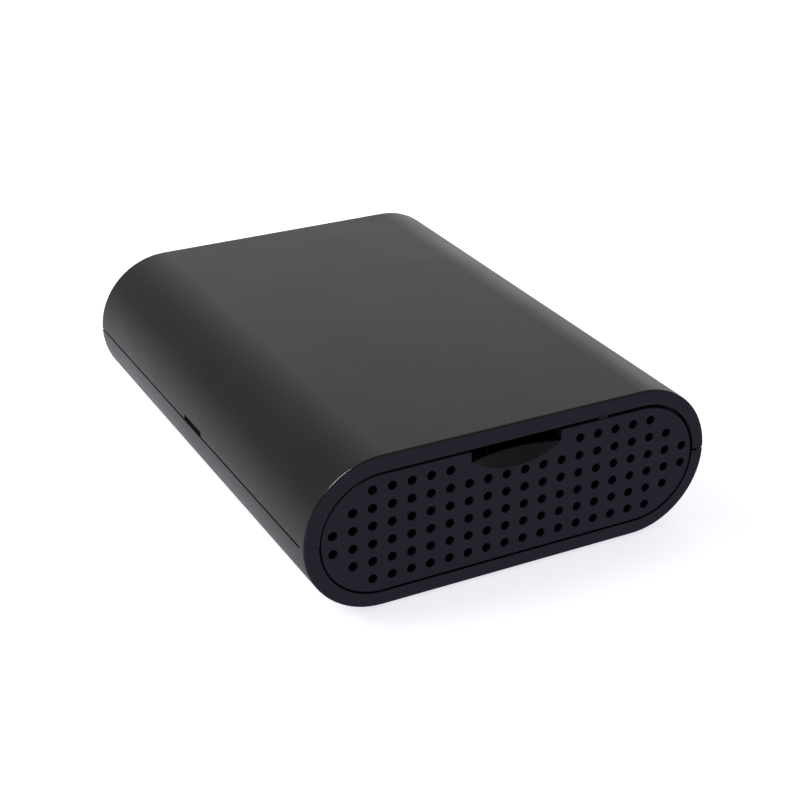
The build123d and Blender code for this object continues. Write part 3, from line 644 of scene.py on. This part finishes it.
track(
    [(25.2, -29.0), (28.5, -29.0), (30.5, -27.0), (30.5, -8.0), (24.0, -1.5), (SINK_HIGH.x / MM - 1.0, -1.5)],
    1.6
)
track([(25.2, -19.0), (27.2, -17.0), (27.2, -10.0), (22.0, -4.8), (SINK_HIGH.x / MM - 1.0, -4.8)], 1.2)
for i, box in enumerate(SERVICE_PINS):
    x = middle(box).x / MM
    y = middle(box).y / MM
    to_x = -8.1 + 0.55 * i if i < 4 else -4.2 + 0.6 * (i - 4)
    bend_y = -15.3 if i < 4 else -14.0
    track([(x, y + 0.9), (x, bend_y - (to_x - x)), (to_x, bend_y), (to_x, SINK_LOW.y / MM + 2.0)])
piece("board_tracks", tracks, "main_board", COVERED_COPPER)

# Vias
OBSTACLES = [
    b for node in (
        "input_buffers", "protection_arrays", "resistor_arrays", "memory_chips"
    ) for b in solids_of(node)
]
OBSTACLES += CAPACITORS + TANTALUMS + INDUCTORS + REGULATORS + LEDS + SCREWS + [CONTROLLER, FLASH, OSCILLATOR]
OBSTACLES += [
    (FPGA_LOW, FPGA_HIGH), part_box("service_header_base"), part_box("usb_port_shell"),
    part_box("probe_header_pins")
]
OBSTACLES += [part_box("light_pipes")]


def clear_of_parts(x, y, margin):
    inside = [
        b[0].x - margin < x < b[1].x + margin and b[0].y - margin < y < b[1].y + margin for b in OBSTACLES
    ]
    return not any(inside)


vias = bmesh.new()
chance = random.Random(7)
spots = list(ends)
while len(spots) < len(ends) + 110:
    x = chance.uniform(BOARD_LOW.x + 2 * MM, BOARD_HIGH.x - 2 * MM)
    y = chance.uniform(BOARD_LOW.y + 2 * MM, BOARD_HIGH.y - 8 * MM)
    apart = all((x - a) ** 2 + (y - b) ** 2 > (0.9 * MM) ** 2 for a, b in spots)
    if apart and clear_of_parts(x, y, 1.1 * MM):
        spots.append((x, y))
for x, y in spots:
    dish = [
        (0, UNDER), (0.3, UNDER), (0.3, TRACE_TOP), (0.27, TRACE_TOP + 0.012 * MM),
        (0.16, TRACE_TOP + 0.006 * MM), (0, TRACE_TOP - 0.012 * MM)
    ]
    add_lathe(vias, [(r * MM, h) for r, h in dish], (x, y, 0), segments=12)
piece("board_vias", vias, "main_board", COVERED_COPPER)

# Silkscreen
ink = bmesh.new()
for box, margin in (
    [(b, 0.45) for b in MEMORY + BUFFERS + GUARDS + TANTALUMS + INDUCTORS + REGULATORS]
    + [(CONTROLLER, 0.8), (FLASH, 0.6), (OSCILLATOR, 0.5), (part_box("service_header_base"), 0.3)]
):
    if box in TANTALUMS + INDUCTORS:
        margin = 0.8
    if box in REGULATORS:
        margin = 0.6
    add_strip(ink, outline(box, margin * MM), 0.15 * MM, UNDER, INK_TOP, closed=True)
    x, y = box[0].x - (margin + 0.5) * MM, box[0].y + 0.3 * MM
    dot = [
        (0, UNDER), (0.22 * MM, UNDER), (0.22 * MM, INK_TOP - 0.006 * MM), (0.2 * MM, INK_TOP), (0, INK_TOP)
    ]
    add_lathe(ink, dot, (x, y, 0), segments=14)
for box in SCREWS:
    add_lathe(
        ink, ring_profile(3.3 * MM, 3.45 * MM, UNDER, INK_TOP), (middle(box).x, middle(box).y, 0), segments=40
    )
for box in CAPACITORS:
    for side in (-1, 1):
        x = middle(box).x + side * 0.72 * MM
        add_strip(
            ink, [(x, middle(box).y - 0.55 * MM), (x, middle(box).y + 0.55 * MM)], 0.12 * MM, UNDER, INK_TOP
        )
piece("board_silkscreen", ink, "main_board", SILKSCREEN)

# ---- Details on the board's parts -------------------------------------------------------------------
caps = bmesh.new()
SKIN = 0.015 * MM
for box in CAPACITORS:
    for edge_y, side in ((box[0].y, -1), (box[1].y, 1)):
        ys = sorted((edge_y + side * SKIN, edge_y - side * 0.32 * MM))
        add_block(
            caps, (box[0].x - SKIN, ys[0], box[0].z), (box[1].x + SKIN, ys[1], box[1].z + SKIN), 0.05 * MM
        )
piece("capacitor_end_caps", caps, "ceramic_capacitors", SOLDER)

ends_mesh = bmesh.new()
for box in ARRAYS:
    for k in range(4):
        x = middle(box).x + (k - 1.5) * 0.8 * MM
        for edge_y, side in ((box[0].y, -1), (box[1].y, 1)):
            ys = sorted((edge_y + side * SKIN, edge_y - side * 0.3 * MM))
            add_block(
                ends_mesh, (x - 0.22 * MM, ys[0], box[0].z), (x + 0.22 * MM, ys[1], box[1].z + SKIN),
                0.04 * MM
            )
piece("resistor_array_ends", ends_mesh, "resistor_arrays", SOLDER)

leads_mesh = bmesh.new()
bands = bmesh.new()
for box in TANTALUMS:
    for edge_x, side in ((box[0].x, -1), (box[1].x, 1)):
        xs = sorted((edge_x - side * 0.1 * MM, edge_x + side * 0.1 * MM))
        add_block(
            leads_mesh, (xs[0], box[0].y + 0.4 * MM, box[0].z),
            (xs[1], box[1].y - 0.4 * MM, box[0].z + 1.1 * MM), 0.04 * MM
        )
    low = (box[0].x + 0.35 * MM, box[0].y + 0.25 * MM, box[1].z - 0.05 * MM)
    high = (box[0].x + 0.95 * MM, box[1].y - 0.25 * MM, box[1].z + 0.012 * MM)
    add_block(bands, low, high, 0.008 * MM)
piece("tantalum_terminals", leads_mesh, "tantalum_capacitors", SOLDER)
TANTALUM_BAND = moulded("tantalum_band", (0.06, 0.025, 0.008), 0.4, 0.05, 2200.0, 0.000008, 0.15)
piece("tantalum_polarity_bands", bands, "tantalum_capacitors", TANTALUM_BAND)

coils = bmesh.new()
straps = bmesh.new()
for box in INDUCTORS:
    centre = (middle(box).x, middle(box).y, 0)
    floor_z = box[1].z - 0.15 * MM
    add_lathe(
        coils, ring_profile(1.3 * MM, 1.6 * MM, floor_z - 0.05 * MM, floor_z + 0.1 * MM, 0.05 * MM), centre,
        segments=32
    )
    for edge_x, side in ((box[0].x, -1), (box[1].x, 1)):
        xs = sorted((edge_x - side * 0.2 * MM, edge_x + side * 0.08 * MM))
        add_block(
            straps, (xs[0], centre[1] - 1.4 * MM, box[0].z),
            (xs[1], centre[1] + 1.4 * MM, box[0].z + 1.6 * MM), 0.04 * MM
        )
COPPER_WIRE = metal("enamelled_wire", (0.55, 0.16, 0.06), 0.3, (2500.0, 2500.0, 2500.0))
piece("inductor_windings", coils, "power_inductors", COPPER_WIRE, smooth=True)
piece("inductor_terminals", straps, "power_inductors", SOLDER)

lenses = bmesh.new()
anodes = bmesh.new()
for box in LEDS:
    dome = [(0, -0.05), (0.34, -0.05), (0.34, 0.02), (0.3, 0.11), (0.2, 0.17), (0, 0.2)]
    add_lathe(lenses, [(r * MM, h * MM) for r, h in dome], (middle(box).x, middle(box).y, box[1].z))
    for edge_x, side in ((box[0].x, -1), (box[1].x, 1)):
        xs = sorted((edge_x + side * SKIN, edge_x - side * 0.3 * MM))
        add_block(
            anodes, (xs[0], box[0].y - SKIN, box[0].z), (xs[1], box[1].y + SKIN, box[0].z + 0.3 * MM),
            0.03 * MM
        )
piece("led_lenses", lenses, "status_leds", MATERIALS["led_resin"], smooth=True)
piece("led_terminals", anodes, "status_leds", BRASS_PLATE)

dots = bmesh.new()
for box, radius in [(b, 0.45) for b in MEMORY] + [(CONTROLLER, 0.45), (FLASH, 0.28)] + [
    (b, 0.3) for b in REGULATORS + BUFFERS
]:
    inset = (box[1].x - box[0].x) * 0.14
    leads = 1.2 * MM if box in BUFFERS else 0.0
    spot = (box[0].x + inset, box[0].y + leads + inset, box[1].z)
    dish = [(0, -0.03), (1.0, -0.03), (1.0, 0.012), (0.85, 0.012), (0.7, -0.005), (0, -0.008)]
    add_lathe(dots, [(r * radius * MM, h * MM) for r, h in dish], spot)
CHIP_DOT = moulded("chip_pin_mark", (0.045, 0.045, 0.047), 0.4, 0.06, 3500.0, 0.00001, 0.1)
piece("chip_pin_marks", dots, "memory_chips", CHIP_DOT)

lid = bmesh.new()
add_strip(
    lid, outline(OSCILLATOR, -0.5 * MM), 0.18 * MM, OSCILLATOR[1].z - 0.05 * MM, OSCILLATOR[1].z + 0.04 * MM,
    closed=True
)
piece("oscillator_lid_rim", lid, "clock_oscillator", MATERIALS["can_metal"])

# ---- Rear connectors ----------------------------------------------------------------------------------
USB_LOW, USB_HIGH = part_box("usb_port_shell")
springs = bmesh.new()
# The dark strips over the shell's spring slots and along its seam are painted shade: they stand for the shade
# inside those cuts.
slot_painted_shade = bmesh.new()
usb_x = (USB_LOW.x + USB_HIGH.x) / 2
spring_y = (USB_LOW.y + 5.5 * MM, USB_LOW.y + 11.5 * MM)
for x in (usb_x - 3.0 * MM, usb_x + 3.0 * MM):
    top = USB_HIGH.z
    add_block(
        springs, (x - 0.7 * MM, spring_y[0], top - 0.1 * MM), (x + 0.7 * MM, spring_y[1], top + 0.09 * MM),
        0.06 * MM
    )
    add_lathe(
        springs, [(0, 0.0), (0.5 * MM, 0.0), (0.42 * MM, 0.1 * MM), (0.2 * MM, 0.16 * MM), (0, 0.17 * MM)],
        (x, spring_y[1] - 1.2 * MM, top + 0.08 * MM)
    )
    x0, x1 = x - 0.95 * MM, x + 0.95 * MM
    path = [
        (x0, spring_y[0]), (x0, spring_y[1] + 0.25 * MM), (x1, spring_y[1] + 0.25 * MM), (x1, spring_y[0])
    ]
    add_strip(slot_painted_shade, path, 0.3 * MM, top - 0.05 * MM, top + 0.008 * MM)
seam = [(usb_x, USB_LOW.y + 0.4 * MM)]
for k, step in enumerate((0.0, 0.6, 0.6, 0.0)):
    seam.append((usb_x + step * MM, USB_LOW.y + (1.2 + 0.7 * k) * MM))
seam.append((usb_x, USB_LOW.y + 12.5 * MM))
add_strip(slot_painted_shade, seam, 0.1 * MM, USB_HIGH.z - 0.05 * MM, USB_HIGH.z + 0.006 * MM)
for edge_x, side in ((USB_LOW.x, -1), (USB_HIGH.x, 1)):
    xs = sorted((edge_x - side * 0.1 * MM, edge_x + side * 0.35 * MM))
    add_block(
        springs, (xs[0], USB_LOW.y + 3.0 * MM, BOARD_TOP),
        (xs[1], USB_LOW.y + 5.2 * MM, BOARD_TOP + 2.2 * MM), 0.08 * MM
    )
piece("usb_shell_springs", springs, "usb_port_shell", MATERIALS["connector_steel"])
piece("usb_shell_slot_painted_shade", slot_painted_shade, "usb_port_shell", PAINTED_SLOT_SHADE)

PROBE_LOW, PROBE_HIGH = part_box("probe_header_housing")
mark = bmesh.new()
FACING_BACK = Matrix.Rotation(math.radians(-90), 3, "X")
tip = (PROBE_LOW.x + 2.6 * MM, PROBE_HIGH.y, PROBE_HIGH.z - 0.6 * MM)
add_lathe(
    mark, [(0, -0.05 * MM), (0.45 * MM, -0.05 * MM), (0.38 * MM, 0.07 * MM), (0, 0.07 * MM)], tip,
    FACING_BACK, segments=3
)
for x in (PROBE_LOW.x + 0.6 * MM, PROBE_HIGH.x - 0.6 * MM):
    z = (PROBE_LOW.z + PROBE_HIGH.z) / 2
    add_block(
        mark, (x - 0.25 * MM, PROBE_HIGH.y - 0.05 * MM, z - 2.0 * MM),
        (x + 0.25 * MM, PROBE_HIGH.y + 0.07 * MM, z + 2.0 * MM), 0.03 * MM
    )
piece("probe_header_marks", mark, "probe_header_housing", MATERIALS["connector_black"])

PANEL_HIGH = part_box("rear_panel")[1]
bezels = bmesh.new()
for box in solids_of("light_pipes"):
    radius = (box[1].x - box[0].x) / 2
    centre = (middle(box).x, PANEL_HIGH.y, box[1].z - radius)
    profile = ring_profile(radius + 0.12 * MM, radius + 0.5 * MM, -0.05 * MM, 0.07 * MM, 0.03 * MM)
    add_lathe(bezels, profile, centre, FACING_BACK, segments=36)
piece("light_pipe_bezels", bezels, "rear_panel", MATERIALS["panel_plastic"])

# ---- Case and door ------------------------------------------------------------------------------------
WALL = 2.3 * MM
marks = bmesh.new()
for x in (-18, 18):
    for y in (-36, -12, 12, 36):
        add_lathe(
            marks, ring_profile(1.9 * MM, 2.1 * MM, -0.06 * MM, 0.05 * MM, 0.02 * MM),
            (x * MM, y * MM, CASE_HIGH.z - WALL), segments=32
        )
piece("upper_shell_ejector_marks", marks, "upper_shell", MATERIALS["case_plastic"])
gate = bmesh.new()
LOWER_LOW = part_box("lower_shell")[0]
for x, y in ((0, 0), (0, -30), (0, 30)):
    nub = [(0, 0.05), (0.9, 0.05), (0.9, -0.05), (0.75, -0.1), (0.35, -0.08), (0.3, -0.16), (0, -0.18)]
    add_lathe(gate, [(r * MM, h * MM) for r, h in nub], (x * MM, y * MM, LOWER_LOW.z), segments=28)
piece("lower_shell_gate_marks", gate, "lower_shell", MATERIALS["case_plastic"])


def door_nib():
    """x range and top of the nib on the door's top edge, read from the CAD mesh."""
    obj = NODES["front_door"]
    places = [obj.matrix_world @ vertex.co for vertex in obj.data.vertices]
    top = max(place.z for place in places)
    tip = [place for place in places if place.z > top - 0.05 * MM]
    return min(p.x for p in tip), max(p.x for p in tip), top


nib_x0, nib_x1, nib_top = door_nib()
lumps = bmesh.new()
chance = random.Random(3)
for k in range(5):
    x = nib_x0 + (nib_x1 - nib_x0) * (0.1 + 0.2 * k)
    size = Vector((chance.uniform(0.28, 0.4), 0.22, chance.uniform(0.26, 0.36))) * MM
    place = Vector((x, door_low.y + 0.25 * MM, nib_top - size.z + chance.uniform(0.06, 0.12) * MM))
    made = bmesh.ops.create_icosphere(lumps, subdivisions=2, radius=1.0)["verts"]
    for vertex in made:
        swell = 1.0 + chance.uniform(-0.12, 0.12)
        vertex.co = place + Vector(vertex.co[i] * size[i] * swell for i in range(3))
piece("door_nib_lumps", lumps, "front_door", MATERIALS["door_plastic"], smooth=True)


# ---- Camera, floor and light ---------------------------------------------------------------------
tilt = next(j for j in frame["joints"] if j["name"] == "front_door_tilt")
VENT_MIDDLE_OVER_HINGE = 11.53 * MM
DOOR_MIDDLE = Vector(((door_low.x + door_high.x) / 2, door_low.y, tilt["pos_m"][2] + VENT_MIDDLE_OVER_HINGE))
CAMERA_OFFSET = Vector((-141.08, -224.99, 150.97)) * MM
AZIMUTH = math.radians(27.67)
ELEVATION = math.radians(26.46)
ROLL = math.radians(0.20)
SENSOR_WIDTH = 36.0  # in mm, as Blender takes it
LENS = 77.36

camera_data = bpy.data.cameras.new("camera")
camera_data.sensor_width = SENSOR_WIDTH
camera_data.lens = LENS
camera_data.clip_start = 0.01
camera = bpy.data.objects.new("camera", camera_data)
bpy.context.scene.collection.objects.link(camera)
forward = Vector(
    (
        math.sin(AZIMUTH) * math.cos(ELEVATION),
        math.cos(AZIMUTH) * math.cos(ELEVATION),
        -math.sin(ELEVATION),
    )
)
turn = forward.to_track_quat("-Z", "Y").to_matrix() @ Matrix.Rotation(ROLL, 3, "Z")
camera.matrix_world = Matrix.Translation(DOOR_MIDDLE + CAMERA_OFFSET) @ turn.to_4x4()
bpy.context.scene.camera = camera

scene = bpy.context.scene
scene.view_settings.view_transform = "Standard"
scene.view_settings.look = "None"
scene.view_settings.exposure = 0.0
scene.view_settings.gamma = 1.0

world = bpy.data.worlds.new("studio")
scene.world = world
world.use_nodes = True
sky = world.node_tree
direction = sky.nodes.new("ShaderNodeTexCoord").outputs["Generated"]
split = sky.nodes.new("ShaderNodeSeparateXYZ")
sky.links.new(direction, split.inputs["Vector"])


def sky_fade(letter, low, high, dark, bright):
    """A smooth colour step along one axis of the sky."""
    step = sky.nodes.new("ShaderNodeMapRange")
    step.interpolation_type = "SMOOTHSTEP"
    step.inputs["From Min"].default_value = low
    step.inputs["From Max"].default_value = high
    sky.links.new(split.outputs[letter], step.inputs["Value"])
    blend = sky.nodes.new("ShaderNodeMix")
    blend.data_type = "RGBA"
    sky.links.new(step.outputs["Result"], blend.inputs["Factor"])
    blend.inputs[6].default_value = (*dark, 1.0)
    blend.inputs[7].default_value = (*bright, 1.0)
    return blend.outputs[2]


def sky_join(a, b, factor=1.0, blend_type="MULTIPLY"):
    """Two skies as one, by default multiplied."""
    joined = sky.nodes.new("ShaderNodeMix")
    joined.data_type = "RGBA"
    joined.blend_type = blend_type
    if isinstance(factor, float):
        joined.inputs["Factor"].default_value = factor
    else:
        sky.links.new(factor, joined.inputs["Factor"])
    sky.links.new(a, joined.inputs[6])
    sky.links.new(b, joined.inputs[7])
    return joined.outputs[2]


# Over the horizon the room is dim on the left and in front. Below it is the white table, dimmer close by.
room = sky_join(
    sky_fade("X", -0.45, 0.3, (0.34, 0.34, 0.34), (1.01, 1.0, 0.98)),
    sky_fade("Z", 0.05, 0.34, (1.6, 1.6, 1.6), (1.0, 1.0, 1.0)),
)
room = sky_join(room, sky_fade("Y", -0.55, 0.35, (0.36, 0.355, 0.34), (1.0, 1.0, 1.0)))
table = sky_join(
    sky_fade("X", -0.1, 0.22, (1.08, 1.08, 1.15), (0.74, 0.74, 0.8)),
    sky_fade("Z", -0.76, -0.46, (0.5, 0.5, 0.5), (1.0, 1.0, 1.0)),
)
table = sky_join(table, sky_fade("X", 0.42, 0.6, (1.0, 1.0, 1.0), (0.7, 0.7, 0.7)))
table = sky_join(table, sky_fade("Y", -0.5, 0.6, (1.05, 1.06, 1.7), (1.0, 1.0, 1.0)))
below = sky_fade("Z", -0.2, 0.16, (1.0, 1.0, 1.0), (0.0, 0.0, 0.0))
sky.links.new(sky_join(room, table, below, "MIX"), sky.nodes["Background"].inputs["Color"])
sky.nodes["Background"].inputs["Strength"].default_value = 1.0

FLOOR = 3.0  # half the width of the paper
FLOOR_GLOW = 0.78
floor_mesh = bpy.data.meshes.new("floor")
floor_corners = [(x, y, 0.0) for x, y in ((-FLOOR, -FLOOR), (FLOOR, -FLOOR), (FLOOR, FLOOR), (-FLOOR, FLOOR))]
floor_mesh.from_pydata(floor_corners, [], [(0, 1, 2, 3)])
floor = bpy.data.objects.new("floor", floor_mesh)
floor.visible_glossy = False
scene.collection.objects.link(floor)
paper = Graph("floor_paper", (0.5, 0.51, 0.54), 0.9, Specular_IOR_Level=0.0)
paper.shader.inputs["Emission Color"].default_value = (0.93, 0.94, 1.0, 1.0)
paper.shader.inputs["Emission Strength"].default_value = FLOOR_GLOW
assign(floor, paper.material)


def area_light(name, place, target, size, power, glossy=False):
    """A rectangular light at place that faces target. A glossy one shows in reflections."""
    data = bpy.data.lights.new(name, "AREA")
    data.shape = "RECTANGLE"
    data.size, data.size_y = size
    data.energy = power
    light = bpy.data.objects.new(name, data)
    light.location = place
    light.rotation_euler = (Vector(target) - Vector(place)).to_track_quat("-Z", "Y").to_euler()
    light.visible_glossy = glossy
    scene.collection.objects.link(light)
    return light


MAIN_LIGHT_PLACE = (-0.78, 0.5, 0.85)
MAIN_LIGHT_SIZE = (0.8, 0.8)
MAIN_LIGHT_POWER = 16.0
area_light("softbox_back_left", MAIN_LIGHT_PLACE, (0, 0, 0), MAIN_LIGHT_SIZE, MAIN_LIGHT_POWER)

# A narrow second light makes the glint on the upper left of the rim. Only glossy reflections see it.
RIM_CORNER = Vector((CASE_LOW.x + 7 * MM, CASE_LOW.y, CASE_HIGH.z - 2 * MM))
RIM_LIGHT_DIRECTION = Vector((-0.5, -0.13, 0.86)).normalized()
RIM_LIGHT_DISTANCE = 0.8
RIM_LIGHT_SIZE = (0.12, 0.4)
RIM_LIGHT_POWER = 17.0
rim_light_place = RIM_CORNER + RIM_LIGHT_DIRECTION * RIM_LIGHT_DISTANCE
rim_light = area_light("rim_glint", rim_light_place, RIM_CORNER, RIM_LIGHT_SIZE, RIM_LIGHT_POWER, glossy=True)
rim_light.visible_diffuse = False
